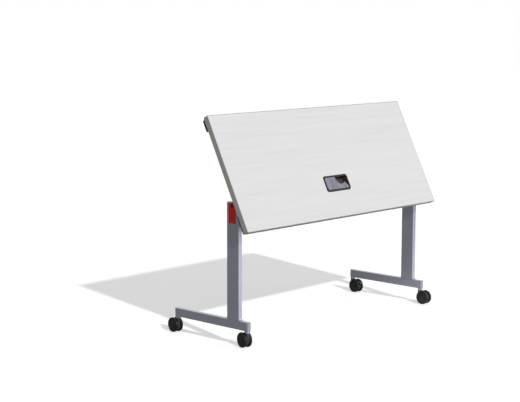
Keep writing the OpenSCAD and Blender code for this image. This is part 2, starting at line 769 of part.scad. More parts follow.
// Casters: each row gives a name, the stem's place and the heading
casters = [
    ["front_left", -leg_x, y0 + front_stem, yaw_front_left],
    ["front_right", leg_x, y0 + front_stem, yaw_front_right],
    ["rear_left", -leg_x, y0 + rear_stem, yaw_rear_left],
    ["rear_right", leg_x, y0 + rear_stem, yaw_rear_right],
];
flange_h = 1.2;
neck_top = socket_z - flange_h - move_gap;
shank_d = stem_d - 2;
shank_z = neck_top - 24;
hood_r = wheel_r - 6.5;
lever_pin_d = 4;
lever_half = 6;
lever_at = [12, 24];
module at_caster(i) translate([casters[i][1], casters[i][2], 0]) rotate(casters[i][3]) children();
module at_axle(i) at_caster(i) translate([0, trail, wheel_r]) children();
module stem_sockets() {
    color("slategray") both_sides() at_leg() stem_spots() difference() {
        union() {
            translate([0, 0, socket_z]) cylinder(d = socket_d, h = socket_h);
            translate([0, 0, foot_z - 1]) cylinder(d = sleeve_d, h = sleeve_top - foot_z + 1);
        }
        translate([0, 0, socket_z - 1]) cylinder(d = stem_d + 2 * bore_gap, h = sleeve_top - socket_z - 1);
    }
}
module caster_stems() {
    color("silver") both_sides() at_leg() stem_spots() {
        translate([0, 0, socket_z - flange_h]) cylinder(d = stem_d, h = sleeve_top - socket_z - 2);
        translate([0, 0, socket_z - flange_h]) cylinder(d = stem_d + 9, h = flange_h);
        translate([0, 0, shank_z]) cylinder(d = shank_d, h = socket_z - flange_h - shank_z + 0.5);
    }
}
module body_2d() {
    translate([trail, wheel_r]) circle(hood_r);
    polygon([
        [-body_w / 2, neck_top], [body_w / 2, neck_top], [trail + 8, wheel_r + hood_r - 2],
        [trail, wheel_r], [trail - hood_r + 3, wheel_r + 4], [-body_w / 2, neck_top - 12],
    ]);
}
module lever_slot_2d() {
    reach = hood_r + 4;
    floor_y = 20;
    mouth_top = 32;
    polygon([
        lever_at + [-6, 12], lever_at + [-6, -6], lever_at + [2, -9],
        [floor_y, 6], [reach, 2], [reach + 6, mouth_top],
    ]);
}
module caster_body(i) {
    braked = i > 1;
    pocket = body_w / 2 - 4;
    color("black") difference() {
        at_caster(i) {
            translate([-body_w / 2, 0, 0]) along_x() linear_extrude(body_w) body_2d();
            translate([0, 0, wheel_r]) cylinder(d = body_w, h = neck_top - wheel_r);
        }
        at_caster(i) translate([0, 0, shank_z - 1]) cylinder(d = shank_d + 2 * bore_gap, h = neck_top);
        at_axle(i) {
            x_rod(axle_d + 2 * bore_gap, -body_w, body_w);
            for (x = [-body_w / 2 - 1, body_w / 2 - pocket]) translate([x, 0, 0]) along_x()
                linear_extrude(pocket + 1) difference() {
                    circle(hood_r - 3.5);
                    circle(axle_d / 2 + 4);
                    translate([-hood_r, 0]) square(2 * hood_r);
                }
            if (braked) {
                half = lever_half + move_gap;
                translate([-half, 0, 0]) along_x() linear_extrude(2 * half) lever_slot_2d();
                translate([0, lever_at.x, lever_at.y]) x_rod(lever_pin_d + 2 * bore_gap, -body_w, body_w);
            }
        }
    }
}
module brake_lever(i) {
    pad_from = pedal_reach - 9;
    color("dimgray") at_axle(i) {
        translate([-lever_half, 0, 0]) along_x() linear_extrude(2 * lever_half) {
            translate(lever_at) circle(4.5);
            polygon([
                lever_at + [0, 4.5], lever_at + [8, 4.5], [pedal_reach - 1, 19],
                [pedal_reach - 1, 14], lever_at + [8, -3.5], lever_at + [0, -4.5],
            ]);
        }
        translate([-pedal_half, 0, 0]) along_x() linear_extrude(2 * pedal_half)
            polygon([[pad_from, 14.5], [pad_from, 22], [pedal_reach, 19.5], [pedal_reach, 13]]);
        pin_half = body_w / 2 - move_gap;
        translate([0, lever_at.x, lever_at.y]) x_rod(lever_pin_d, -pin_half, pin_half);
    }
}
module axle(i) {
    half = wheel_out - 2;
    color("silver") at_axle(i) x_rod(axle_d, -half, half);
}
module wheel(i, s) {
    web = 4;
    color("black") at_axle(i) translate([s * wheel_side, 0, 0]) rotate([0, s * 90, 0]) rotate_extrude() {
        difference() {
            union() {
                square([wheel_r - tread_r, wheel_w]);
                square([wheel_r, wheel_w - tread_r]);
                translate([wheel_r - tread_r, wheel_w - tread_r]) circle(tread_r);
            }
            translate([axle_d / 2 + 5, -1]) square([wheel_r - axle_d / 2 - 11, wheel_w - web + 1]);
            translate([axle_d / 2 + 4, wheel_w - 1]) square([wheel_r - axle_d / 2 - 13, 2]);
            translate([0, -1]) square([axle_d / 2 + bore_gap, wheel_w - 0.5]);
        }
    }
}

worktop_core();
worktop_laminate();
worktop_backer();
edge_band();
tilt_bracket("left");  // tilt_bracket_left
tilt_bracket("right");  // tilt_bracket_right
bracket_screws();
rear_bumper("left");  // rear_bumper_left
rear_bumper("right");  // rear_bumper_right
front_bumper("left");  // front_bumper_left
front_bumper("right");  // front_bumper_right
bumper_screws();
power_bezel();
power_housing();
outlet_plate();
receptacles();
cord_gland();
housing_clamps();
clamp_screws();
lid_hinge_pin();
power_lid();
column("left");  // column_left
column("right");  // column_right
foot("left");  // foot_left
foot("right");  // foot_right
foot_end_caps();
pivot_cradle("left");  // pivot_cradle_left
pivot_cradle("right");  // pivot_cradle_right
pivot_pin("left");  // pivot_pin_left
pivot_pin("right");  // pivot_pin_right
head_cap("left");  // head_cap_left
head_cap("right");  // head_cap_right
lock_panel("left");  // lock_panel_left
lock_panel("right");  // lock_panel_right
crossbar();
crossbar_flange("left");  // crossbar_flange_left
crossbar_flange("right");  // crossbar_flange_right
flange_bolts();
stem_sockets();
caster_stems();
caster_body(0);  // caster_body_front_left
caster_body(1);  // caster_body_front_right
caster_body(2);  // caster_body_rear_left
caster_body(3);  // caster_body_rear_right
axle(0);  // axle_front_left
axle(1);  // axle_front_right
axle(2);  // axle_rear_left
axle(3);  // axle_rear_right
wheel(0, -1);  // wheel_front_left_outer
wheel(0, 1);  // wheel_front_left_inner
wheel(1, -1);  // wheel_front_right_outer
wheel(1, 1);  // wheel_front_right_inner
wheel(2, -1);  // wheel_rear_left_outer
wheel(2, 1);  // wheel_rear_left_inner
wheel(3, -1);  // wheel_rear_right_outer
wheel(3, 1);  // wheel_rear_right_inner
brake_lever(2);  // brake_lever_left
brake_lever(3);  // brake_lever_right
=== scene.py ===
"""Stacking training table: looks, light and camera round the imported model."""

import json
import math

import bmesh
import bpy
from mathutils import Matrix, Vector

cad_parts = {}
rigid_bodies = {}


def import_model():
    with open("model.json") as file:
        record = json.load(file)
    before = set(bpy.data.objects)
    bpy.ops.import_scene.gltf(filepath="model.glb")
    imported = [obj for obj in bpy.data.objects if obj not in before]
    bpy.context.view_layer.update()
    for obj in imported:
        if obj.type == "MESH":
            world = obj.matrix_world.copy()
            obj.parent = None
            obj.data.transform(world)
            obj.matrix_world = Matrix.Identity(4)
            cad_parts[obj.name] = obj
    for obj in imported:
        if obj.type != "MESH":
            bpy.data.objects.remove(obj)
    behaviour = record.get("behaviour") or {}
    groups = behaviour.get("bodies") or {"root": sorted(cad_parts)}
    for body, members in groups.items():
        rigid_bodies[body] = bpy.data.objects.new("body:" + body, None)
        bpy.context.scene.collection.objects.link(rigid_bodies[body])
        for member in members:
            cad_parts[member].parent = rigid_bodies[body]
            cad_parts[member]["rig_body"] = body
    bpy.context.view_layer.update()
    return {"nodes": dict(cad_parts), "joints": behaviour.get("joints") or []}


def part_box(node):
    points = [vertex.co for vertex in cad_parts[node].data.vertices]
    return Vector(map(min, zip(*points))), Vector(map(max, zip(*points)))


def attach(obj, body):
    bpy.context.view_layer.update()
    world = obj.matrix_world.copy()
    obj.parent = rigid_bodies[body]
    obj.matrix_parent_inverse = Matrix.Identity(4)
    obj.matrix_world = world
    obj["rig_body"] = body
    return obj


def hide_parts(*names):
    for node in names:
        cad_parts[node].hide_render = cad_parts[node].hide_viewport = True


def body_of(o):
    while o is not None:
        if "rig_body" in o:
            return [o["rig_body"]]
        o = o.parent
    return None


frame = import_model()
nodes = frame["nodes"]
joints = {j["name"]: j for j in frame["joints"]}
scene = bpy.context.scene
# The worktop at rest: its pivot line, how far it is tilted up, and the way its working surface faces
PIVOT = Vector(joints["worktop_tilt"]["pos_m"])
TILT = math.radians(-joints["worktop_tilt"]["range_deg"][0])
TOP_NORMAL = Matrix.Rotation(TILT, 3, "X") @ Vector((0, 0, 1))


# Materials

BLACK, WHITE = (0, 0, 0, 1), (1, 1, 1, 1)


def srgb(r, g, b):
    """A colour in steps of 0 to 255, as the linear values that the nodes take."""
    def linear(c):
        c /= 255
        return c / 12.92 if c <= 0.04045 else ((c + 0.055) / 1.055) ** 2.4
    return (linear(r), linear(g), linear(b), 1.0)


class Look:
    """A material's nodes: colours and bumps are added to one Principled shader."""

    def __init__(self, name, rough, metal=0.0, ior=1.45, gloss=0.5):
        self.mat = bpy.data.materials.new(name)
        self.mat.use_nodes = True
        self.tree = self.mat.node_tree
        self.shader = self.tree.nodes["Principled BSDF"]
        self.shader.inputs["Roughness"].default_value = rough
        self.shader.inputs["Metallic"].default_value = metal
        self.shader.inputs["IOR"].default_value = ior
        self.shader.inputs["Specular IOR Level"].default_value = gloss
        self.coords = self.tree.nodes.new("ShaderNodeTexCoord").outputs["Object"]
        self.normal = None

    def node(self, kind, **values):
        made = self.tree.nodes.new(kind)
        for key, value in values.items():
            setattr(made, key, value)
        return made

    def link(self, a, b):
        self.tree.links.new(a, b)

    def mapped(self, scale):
        mapping = self.node("ShaderNodeMapping")
        mapping.inputs["Scale"].default_value = scale
        self.link(self.coords, mapping.inputs["Vector"])
        return mapping.outputs["Vector"]

    def noise(self, scale, detail, rough=0.5):
        texture = self.node("ShaderNodeTexNoise")
        texture.inputs["Scale"].default_value = 1.0
        texture.inputs["Detail"].default_value = detail
        texture.inputs["Roughness"].default_value = rough
        self.link(self.mapped(scale), texture.inputs["Vector"])
        return texture.outputs["Fac"]

    def ramp(self, value, *stops):
        ramp = self.node("ShaderNodeValToRGB")
        elements = ramp.color_ramp.elements
        while len(elements) < len(stops):
            elements.new(0.5)
        for element, (place, colour) in zip(elements, stops):
            element.position = place
            element.color = colour
        self.link(value, ramp.inputs["Fac"])
        return ramp.outputs["Color"]

    def mix(self, a, b, fac):
        mixed = self.node("ShaderNodeMix", data_type="RGBA")
        for socket, value in ((mixed.inputs["Factor"], fac), (mixed.inputs[6], a), (mixed.inputs[7], b)):
            if hasattr(value, "is_output"):
                self.link(value, socket)
            else:
                socket.default_value = value
        return mixed.outputs[2]

    def colour(self, value):
        self.link(value, self.shader.inputs["Base Color"])

    def roughness(self, value, low, high):
        scaled = self.node("ShaderNodeMapRange")
        scaled.inputs["To Min"].default_value = low
        scaled.inputs["To Max"].default_value = high
        self.link(value, scaled.inputs["Value"])
        self.link(scaled.outputs["Result"], self.shader.inputs["Roughness"])

    def bump(self, value, distance, strength=1.0):
        """Adds a bump on top of those already there."""
        relief = self.node("ShaderNodeBump")
        relief.inputs["Strength"].default_value = strength
        relief.inputs["Distance"].default_value = distance
        self.link(value, relief.inputs["Height"])
        if self.normal is not None:
            self.link(self.normal, relief.inputs["Normal"])
        self.normal = relief.outputs["Normal"]
        self.link(self.normal, self.shader.inputs["Normal"])


def shade(colour, k):
    return tuple(c * k for c in colour[:3]) + (1.0,)


def plastic(name, colour, rough, grain, spread, depth, gloss=0.5, bands=(9, 9, 9)):
    """Moulded plastic: grain is the fine bump's scale, spread and bands the slow change of colour."""
    look = Look(name, rough, ior=1.46, gloss=gloss)
    cloud = look.noise(bands, 4)
    look.colour(look.ramp(cloud, (0.3, shade(colour, 1 - spread)), (0.7, shade(colour, 1 + spread))))
    fine = look.noise((grain,) * 3, 2)
    look.roughness(fine, rough - 0.06, rough + 0.06)
    look.bump(fine, depth)
    return look.mat


def powder_coat(name, colour, rough, metal):
    """Sprayed paint with fine specks and orange peel."""
    look = Look(name, rough, metal)
    speck = look.noise((2600,) * 3, 2, 0.6)
    base = look.ramp(speck, (0.35, shade(colour, 0.93)), (0.62, shade(colour, 1.05)))
    cloud = look.ramp(look.noise((5, 5, 2.2), 3), (0.35, BLACK), (0.75, WHITE))
    look.colour(look.mix(base, shade(colour, 0.97), cloud))
    peel = look.noise((420,) * 3, 3, 0.55)
    look.roughness(peel, rough - 0.05, rough + 0.07)
    look.bump(peel, 0.00007)
    look.bump(speck, 0.00003)
    return look.mat


def metal(name, colour, rough, lines):
    """Bare metal with lines, a scale, of fine marks."""
    look = Look(name, rough, 1.0)
    marks = look.noise((lines,) * 3, 4, 0.6)
    look.colour(look.ramp(marks, (0.3, shade(colour, 0.88)), (0.7, shade(colour, 1.06))))
    look.roughness(look.noise((60,) * 3, 3), rough - 0.08, rough + 0.1)
    look.bump(marks, 0.00002)
    return look.mat


def laminate():
    """Pale face with faint streaks along the table."""
    look = Look("laminate", 0.42)
    streaks = look.noise((2.2, 46, 46), 5, 0.62)
    wide = look.noise((1.1, 9, 9), 3, 0.5)
    fleck = look.noise((70, 420, 420), 3, 0.6)
    pale, mid, low = srgb(233, 233, 233), srgb(228, 228, 229), srgb(220, 220, 222)
    base = look.ramp(streaks, (0.32, low), (0.5, mid), (0.68, pale))
    clouds = look.ramp(wide, (0.35, srgb(224, 224, 226)), (0.7, srgb(232, 232, 231)))
    flecks = look.ramp(fleck, (0.30, srgb(205, 205, 207)), (0.42, srgb(230, 230, 230)))
    look.colour(look.mix(look.mix(base, clouds, 0.45), flecks, 0.22))
    look.roughness(streaks, 0.38, 0.48)
    look.bump(fleck, 0.00005)
    look.bump(look.noise((900,) * 3, 2), 0.00003)
    return look.mat


def edge_banding():
    """Taupe band with painted shade along its two arrises, darker than its flat, from the board's
    underside to its top.
    """
    look = Look("edge_band", 0.44)
    turn = look.node("ShaderNodeVectorRotate", rotation_type="X_AXIS")
    turn.inputs["Center"].default_value = PIVOT
    turn.inputs["Angle"].default_value = -TILT
    look.link(look.coords, turn.inputs["Vector"])
    split = look.node("ShaderNodeSeparateXYZ")
    look.link(turn.outputs["Vector"], split.inputs["Vector"])
    rise = [(v.co - PIVOT).dot(TOP_NORMAL) for v in nodes["edge_band"].data.vertices]
    level = look.node("ShaderNodeMapRange")
    level.inputs["From Min"].default_value = PIVOT.z + min(rise)
    level.inputs["From Max"].default_value = PIVOT.z + max(rise)
    look.link(split.outputs["Z"], level.inputs["Value"])
    # Painted shade: the colour darkens towards both arrises, where the rounded edges turn away from the
    # light.
    flat, painted_arris_shade = srgb(192, 186, 181), srgb(138, 132, 129)
    base = look.ramp(level.outputs["Result"], (0.02, painted_arris_shade), (0.12, flat), (0.88, flat), (0.98, painted_arris_shade))
    grain = look.noise((240,) * 3, 3, 0.6)
    tone = look.ramp(grain, (0.3, srgb(158, 151, 145)), (0.7, srgb(198, 190, 184)))
    look.colour(look.mix(base, tone, 0.3))
    look.roughness(grain, 0.38, 0.5)
    look.bump(grain, 0.00005)
    return look.mat


def particle_board():
    """Chips in three tones of wood."""
    look = Look("core_board", 0.9)
    chips = look.node("ShaderNodeTexVoronoi")
    chips.inputs["Scale"].default_value = 1.0
    look.link(look.mapped((330, 520, 520)), chips.inputs["Vector"])
    tone = look.node("ShaderNodeSeparateColor")
    look.link(chips.outputs["Color"], tone.inputs["Color"])
    look.colour(look.ramp(tone.outputs["Red"], (0.0, srgb(176, 148, 112)), (0.5, srgb(206, 182, 146)),
                          (1.0, srgb(226, 206, 172))))
    look.bump(chips.outputs["Distance"], 0.0003, 0.6)
    return look.mat


mats = {
    "laminate": laminate(),
    "edge_band": edge_banding(),
    "core_board": particle_board(),
    "backer": plastic("backer", srgb(118, 115, 113), 0.6,
                      grain=700, spread=0.05, depth=0.00008),
    "silver_paint": powder_coat("silver_paint", srgb(190, 192, 206), 0.4, 0.75),
    "dark_paint": powder_coat("dark_paint", srgb(48, 48, 51), 0.45, 0.0),
    "zinc_steel": metal("zinc_steel", srgb(196, 197, 200), 0.36, 900),
    "axle_steel": metal("axle_steel", srgb(200, 200, 203), 0.25, 1800),
    "grey_plastic": plastic("grey_plastic", srgb(168, 168, 180), 0.42,
                            grain=1400, spread=0.06, depth=0.00006),
    "light_plastic": plastic("light_plastic", srgb(224, 220, 236), 0.4,
                             grain=1400, spread=0.06, depth=0.00006),
    "red_plastic": plastic("red_plastic", srgb(252, 50, 42), 0.4,
                           grain=1700, spread=0.05, depth=0.00005, gloss=0.25),
    "black_rubber": plastic("black_rubber", srgb(24, 24, 26), 0.7,
                            grain=1100, spread=0.15, depth=0.00012, gloss=0.25),
    "bezel_plastic": plastic("bezel_plastic", srgb(42, 37, 36), 0.24,
                             grain=1500, spread=0.08, depth=0.00003),
    "black_plastic": plastic("black_plastic", srgb(78, 66, 62), 0.46,
                             grain=1000, spread=0.1, depth=0.0001, gloss=0.35),
    "lid_plastic": plastic("lid_plastic", srgb(137, 136, 152), 0.36,
                           grain=1800, spread=0.25, depth=0.00004, gloss=0.4, bands=(75, 9, 9)),
    "caster_body": plastic("caster_body", srgb(70, 67, 77), 0.27,
                           grain=1200, spread=0.08, depth=0.00004),
    "caster_wheel": plastic("caster_wheel", srgb(40, 38, 43), 0.38,
                            grain=1300, spread=0.08, depth=0.00006, gloss=0.4),
    "caster_tread": plastic("caster_tread", srgb(27, 26, 30), 0.45,
                            grain=900, spread=0.12, depth=0.0001, gloss=0.4),
}
for node in nodes.values():
    for place in node.material_slots:
        place.material = mats[place.material.name.split(".")[0]]


# Pieces

def add(name, mesh, body, slot, *replaced):
    """Puts a mesh in the scene as a piece of a body, in place of the CAD nodes it replaces."""
    piece = bpy.data.objects.new(name, mesh)
    scene.collection.objects.link(piece)
    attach(piece, body)
    if replaced:
        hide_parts(*replaced)
    return piece


def smooth(mesh, angle=32):
    mesh.shade_smooth()
    mesh.set_sharp_from_angle(angle=math.radians(angle))


def mesh_from(name, bm, *materials):
    mesh = bpy.data.meshes.new(name)
    bmesh.ops.recalc_face_normals(bm, faces=bm.faces)
    bm.to_mesh(mesh)
    bm.free()
    for material in materials:
        mesh.materials.append(mats[material])
    smooth(mesh)
    return mesh


def softened(node, width, segments=2, angle=33):
    """A copy of a CAD node, in its place, whose edges sharper than angle are broken by width."""
    source = nodes[node].data
    bm = bmesh.new()
    bm.from_mesh(source)
    bmesh.ops.remove_doubles(bm, verts=bm.verts, dist=2e-6)
    bmesh.ops.dissolve_limit(bm, angle_limit=math.radians(0.6), verts=bm.verts, edges=bm.edges)
    plain = bpy.data.meshes.new(node + ".soft")
    index = {v: i for i, v in enumerate(bm.verts)}
    plain.from_pydata([v.co[:] for v in bm.verts], [], [[index[v] for v in f.verts] for f in bm.faces])
    bm.free()
    for place in nodes[node].material_slots:
        plain.materials.append(place.material)
    smooth(plain, angle)
    slot = source.materials[0].name.split(".")[0]
    piece = add(node + ".soft", plain, body_of(nodes[node])[0], slot, node)
    edges = piece.modifiers.new("broken_edges", "BEVEL")
    edges.width = width
    edges.segments = segments
    edges.limit_method = "ANGLE"
    edges.angle_limit = math.radians(angle)
    edges.harden_normals = True
    edges.use_clamp_overlap = True


def lathe(bm, profile, place, steps, material=None):
    """Turns (radius, height) points round local Z at place; material(step) is a step's material number."""
    rings = []
    for r, z in profile:
        if r < 1e-7:
            rings.append([bm.verts.new(place @ Vector((0, 0, z)))])
        else:
            rings.append([bm.verts.new(place @ Vector((r * math.cos(a), r * math.sin(a), z)))
                          for a in (2 * math.pi * i / steps for i in range(steps))])
    for k, (low, high) in enumerate(zip(rings, rings[1:])):
        for i in range(steps):
            j = (i + 1) % steps
            corners = [low[i % len(low)], low[j % len(low)], high[j % len(high)], high[i % len(high)]]
            face = bm.faces.new(list(dict.fromkeys(corners)))
            if material:
                face.material_index = material(k)
    return rings


def arc(cx, cz, r, start, end, steps):
    """Points on a circle's arc from start to end, in degrees."""
    return [(cx + r * math.cos(math.radians(start + (end - start) * i / steps)),
             cz + r * math.sin(math.radians(start + (end - start) * i / steps))) for i in range(steps + 1)]


def axis_place(origin, direction):
    """A frame at origin whose Z runs along direction."""
    turn = Vector(direction).normalized().to_track_quat("Z", "Y").to_matrix().to_4x4()
    return Matrix.Translation(origin) @ turn


# Wheels: rounded tread, raised rim, gently domed disc with a groove round its middle, and a hollow back
WHEEL_R, WHEEL_W, WHEEL_STEPS = 0.0375, 0.013, 72
TREAD_ROUND, INNER_ROUND = 0.004, 0.0008
RIM_R, DISC_R, DISC_DROP, GROOVE_R = 0.0302, 0.0273, 0.0017, 0.0093
HOLLOW_R, HUB_R, HOLE_R, WEB = 0.0300, 0.0092, 0.00406, 0.0040


def wheel_profile():
    """The (radius, height) points from the outer face inwards, and the tread's first and last step."""
    w = WHEEL_W
    middle = [(0.0, w - 0.0006), (0.0040, w - 0.00062), (0.0075, w - 0.0007)]
    groove = [(GROOVE_R - 0.0013, w - 0.0011), (GROOVE_R - 0.0005, w - 0.0011), (GROOVE_R, w - 0.00075)]
    disc = [(r, w - 0.0007 - DISC_DROP * ((r - GROOVE_R) / (DISC_R - GROOVE_R)) ** 2)
            for r in (0.012, 0.016, 0.020, 0.024, DISC_R)]
    rim = [(DISC_R + 0.0004, w - 0.0031), (DISC_R + 0.0010, w - 0.0031), (RIM_R - 0.0015, w - 0.0012),
           (RIM_R - 0.0009, w - 0.0004), (RIM_R, w)]
    face = middle + groove + disc + rim
    tread = arc(WHEEL_R - TREAD_ROUND, w - TREAD_ROUND, TREAD_ROUND, 90, 0, 8)
    tread += [(WHEEL_R, w * 0.5), (WHEEL_R, INNER_ROUND * 1.5)]
    tread += arc(WHEEL_R - INNER_ROUND, INNER_ROUND, INNER_ROUND, 0, -90, 3)[1:]
    hollow = [(HOLLOW_R + 0.0020, 0.0), (HOLLOW_R + 0.0012, 0.0006),
              (HOLLOW_R + 0.0006, w - WEB - 0.0006), (HOLLOW_R, w - WEB)]
    hub = [(HUB_R + 0.0006, w - WEB), (HUB_R, w - WEB - 0.0004), (HUB_R - 0.0002, 0.0)]
    hole = [(HOLE_R, 0.0), (HOLE_R, w - 0.0016), (0.0, w - 0.0016)]
    return face + tread + hollow + hub + hole, len(face) - 1, len(face) + len(tread) - 2


def wheel(corner, side):
    """A turned wheel in the CAD wheel's place, its outer face away from the caster's body."""
    name = f"wheel_{corner}_{side}"
    axle = joints[f"roll_{corner}_{side}"]
    lo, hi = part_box(name)
    out = Vector(axle["axis"]).normalized()
    at = Vector(axle["pos_m"])
    if ((lo + hi) / 2 - at).dot(out) < 0:
        out = -out
    inner_face = at + out * min((v.co - at).dot(out) for v in nodes[name].data.vertices)
    profile, first, last = wheel_profile()
    bm = bmesh.new()
    lathe(bm, profile, axis_place(inner_face, out), WHEEL_STEPS, lambda k: int(first <= k <= last))
    mesh = mesh_from(name + ".turned", bm, "caster_wheel", "caster_tread")
    add(name + ".turned", mesh, name, "caster_wheel", name)


for corner in ("front_left", "front_right", "rear_left", "rear_right"):
    for side in ("outer", "inner"):
        wheel(corner, side)
    softened(f"caster_body_{corner}", 0.0012, segments=3, angle=40)
for side in ("left", "right"):
    softened(f"brake_lever_{side}", 0.0012, segments=3)
    softened(f"lock_panel_{side}", 0.0006)
    softened(f"head_cap_{side}", 0.0008)
    softened(f"rear_bumper_{side}", 0.0016, segments=3)
    softened(f"front_bumper_{side}", 0.0016, segments=3)
    softened(f"tilt_bracket_{side}", 0.0006)
    softened(f"crossbar_flange_{side}", 0.0006)
softened("foot_end_caps", 0.0012, segments=3, angle=40)
softened("power_bezel", 0.0009, segments=4)
softened("power_lid", 0.0004)
softened("receptacles", 0.0004)
softened("housing_clamps", 0.0004)
softened("cord_gland", 0.0005)


# Screws and bolts, on the shanks' own axes: a head's height and radius in shank diameters
PAN_H, PAN_R = 0.55, 0.95
HEX_H, HEX_R = 0.65, 0.9


def cross_head(bm, place, d, shank):
    """A rounded head below the origin with a sunk cross, and its shank above."""
    r, h, steps = PAN_R * d, PAN_H * d, 24
    arm, wide, depth = r * 0.52, d * 0.1, h * 0.55
    rings = lathe(bm, [(0.0, shank), (d / 2, shank - d * 0.6), (d / 2, 0.0), (r, 0.0), (r, -h * 0.2),
                       (r * 0.96, -h * 0.5), (r * 0.85, -h * 0.8), (r * 0.66, -h)], place, steps)
    cross = [(arm, -wide), (arm, wide), (wide, wide), (wide, arm), (-wide, arm), (-wide, wide),
             (-arm, wide), (-arm, -wide), (-wide, -wide), (-wide, -arm), (wide, -arm), (wide, -wide)]
    high, low = ([bm.verts.new(place @ Vector((x, y, z))) for x, y in cross] for z in (-h, depth - h))
    edges = [bm.edges.new((high[i], high[i - 1])) for i in range(len(cross))]
    edges += [bm.edges.get((rings[-1][i], rings[-1][i - 1])) for i in range(steps)]
    bmesh.ops.triangle_fill(bm, use_beauty=True, edges=edges)
    for i in range(len(cross)):
        bm.faces.new([high[i], high[i - 1], low[i - 1], low[i]])
    bm.faces.new(low)


def islands(node):
    """The separate solids of a CAD node, each as its list of points."""
    bm = bmesh.new()
    bm.from_mesh(nodes[node].data)
    bmesh.ops.remove_doubles(bm, verts=bm.verts, dist=2e-6)
    bm.verts.ensure_lookup_table()
    seen, found = set(), []
    for first in bm.verts:
        if first.index in seen:
            continue
        stack, points = [first], []
        seen.add(first.index)
        while stack:
            v = stack.pop()
            points.append(v.co.copy())
            for e in v.link_edges:
                w = e.other_vert(v)
                if w.index not in seen:
                    seen.add(w.index)
                    stack.append(w)
        found.append(points)
    bm.free()
    return found


def hex_head(bm, place, d, shank):
    """A flanged hex head below the origin, and its shank above."""
    h, corner, sides = HEX_H * d, HEX_R * d, 6
    flange = [(0.0, -0.2 * h), (corner * 1.08, -0.12 * h), (corner * 1.12, -0.06 * h),
              (corner * 1.12, 0.0), (d / 2, 0.0)]
    tip = [(d / 2, shank - d * 0.15), (d * 0.38, shank), (0.0, shank)]
    lathe(bm, flange + tip, place, 30)
    rings = []
    for k, z in ((0.94, -0.1 * h), (1.0, -0.16 * h), (1.0, -0.84 * h), (0.90, -0.97 * h), (0.80, -h)):
        rings.append([bm.verts.new(place @ Vector((k * corner * math.cos(a), k * corner * math.sin(a), z)))
                      for a in (2 * math.pi * i / sides for i in range(sides))])
    for low, high in zip(rings, rings[1:]):
        for i in range(sides):
            bm.faces.new([low[i], low[(i + 1) % sides], high[(i + 1) % sides], high[i]])
    bm.faces.new(rings[-1])
    bm.faces.new(list(reversed(rings[0])))


def fasteners(node, kind, d, along):
    """Replaces a node of screws or bolts: along(point of one) is the way from its head to its tip."""
    make, head_h = {"cross": (cross_head, PAN_H * d), "hex": (hex_head, HEX_H * d)}[kind]
    bm = bmesh.new()
    for points in islands(node):
        place = axis_place(Vector(), along(points[0]))
        local = [place.transposed() @ p for p in points]
        low, high = (Vector([pick(p[i] for p in local) for i in range(3)]) for pick in (min, max))
        middle = (low + high) / 2
        place = place @ Matrix.Translation((middle.x, middle.y, low.z + head_h))
        make(bm, place, d, high.z - low.z - head_h)
    mesh = mesh_from(f"{node}.{kind}", bm, "zinc_steel")
    add(f"{node}.{kind}", mesh, body_of(nodes[node])[0], "zinc_steel", node)


def outwards(point):
    """The way from the table's middle to the end that a point lies at."""
    return Vector((math.copysign(1, point.x), 0, 0))


fasteners("bracket_screws", "cross", 0.0048, lambda point: TOP_NORMAL)
fasteners("bumper_screws", "cross", 0.004, lambda point: TOP_NORMAL)
fasteners("clamp_screws", "cross", 0.004, lambda point: -outwards(point))
fasteners("flange_bolts", "hex", 0.006, outwards)


def rounded_path(x, y, r):
    """A closed rounded rectangle round the origin."""
    corners = ((x / 2 - r, y / 2 - r, 0), (r - x / 2, y / 2 - r, 90),
               (r - x / 2, r - y / 2, 180), (x / 2 - r, r - y / 2, 270))
    out = []
    for cx, cy, start in corners:
        out += arc(cx, cy, r, start, start + 90, 6)
    return out


def bead(name, outline, place, r, node, slot):
    """A weld bead of radius r with its ripples along a closed outline in place's own XY plane."""
    spacing, ripple, around = 0.0006, 0.0024, 8
    up = Vector((0, 0, 1))
    points = []
    closed = outline + outline[:1]
    for (x0, y0), (x1, y1) in zip(closed, closed[1:]):
        n = max(1, round(math.hypot(x1 - x0, y1 - y0) / spacing))
        points += [Vector((x0 + (x1 - x0) * i / n, y0 + (y1 - y0) * i / n, 0)) for i in range(n)]
    bm = bmesh.new()
    rings, travel = [], 0.0
    for i, point in enumerate(points):
        ahead = (points[(i + 1) % len(points)] - points[i - 1]).normalized()
        side = Vector((ahead.y, -ahead.x, 0))
        radius = r * (1 + 0.13 * abs(math.sin(math.pi * travel / ripple)) + 0.05 * math.sin(travel * 900))
        rings.append([bm.verts.new(place @ (point + radius * (math.cos(a) * side + math.sin(a) * up)))
                      for a in (2 * math.pi * j / around for j in range(around))])
        travel += (points[(i + 1) % len(points)] - point).length
    for i, ring in enumerate(rings):
        after = rings[(i + 1) % len(rings)]
        for j in range(around):
            bm.faces.new([ring[j], ring[(j + 1) % around], after[(j + 1) % around], after[j]])
    mesh = mesh_from(name, bm, slot)
    add(name, mesh, body_of(nodes[node])[0], slot)


# A bead round each end of the crossbar, a little clear of its faces
BEAD_R, BEAD_CLEAR, BAR_CORNER = 0.0016, 0.0003, 0.003
SQUARE_TO_X = Matrix(((0, 0, 1, 0), (1, 0, 0, 0), (0, 1, 0, 0), (0, 0, 0, 1)))
bar_low, bar_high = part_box("crossbar")
bar = (bar_low + bar_high) / 2
bar_size = bar_high - bar_low
bar_outline = rounded_path(bar_size.y + 2 * BEAD_CLEAR, bar_size.z + 2 * BEAD_CLEAR, BAR_CORNER)
for side, x in (("left", bar_low.x), ("right", bar_high.x)):
    place = Matrix.Translation((x, bar.y, bar.z)) @ SQUARE_TO_X
    bead(f"crossbar_weld_{side}", bar_outline, place, BEAD_R, "crossbar", "silver_paint")


# Floor, light and camera

# How bright the floor is to the camera, as bounced light and by itself
FLOOR_SEEN, FLOOR_LIT, FLOOR_GLOW = 0.9, 0.3, 0.42
# The part of floor and sky that is left in reflections, to the back and left and to the far right
MIRRORED_LEFT, MIRRORED_RIGHT = 0.2, 0.35


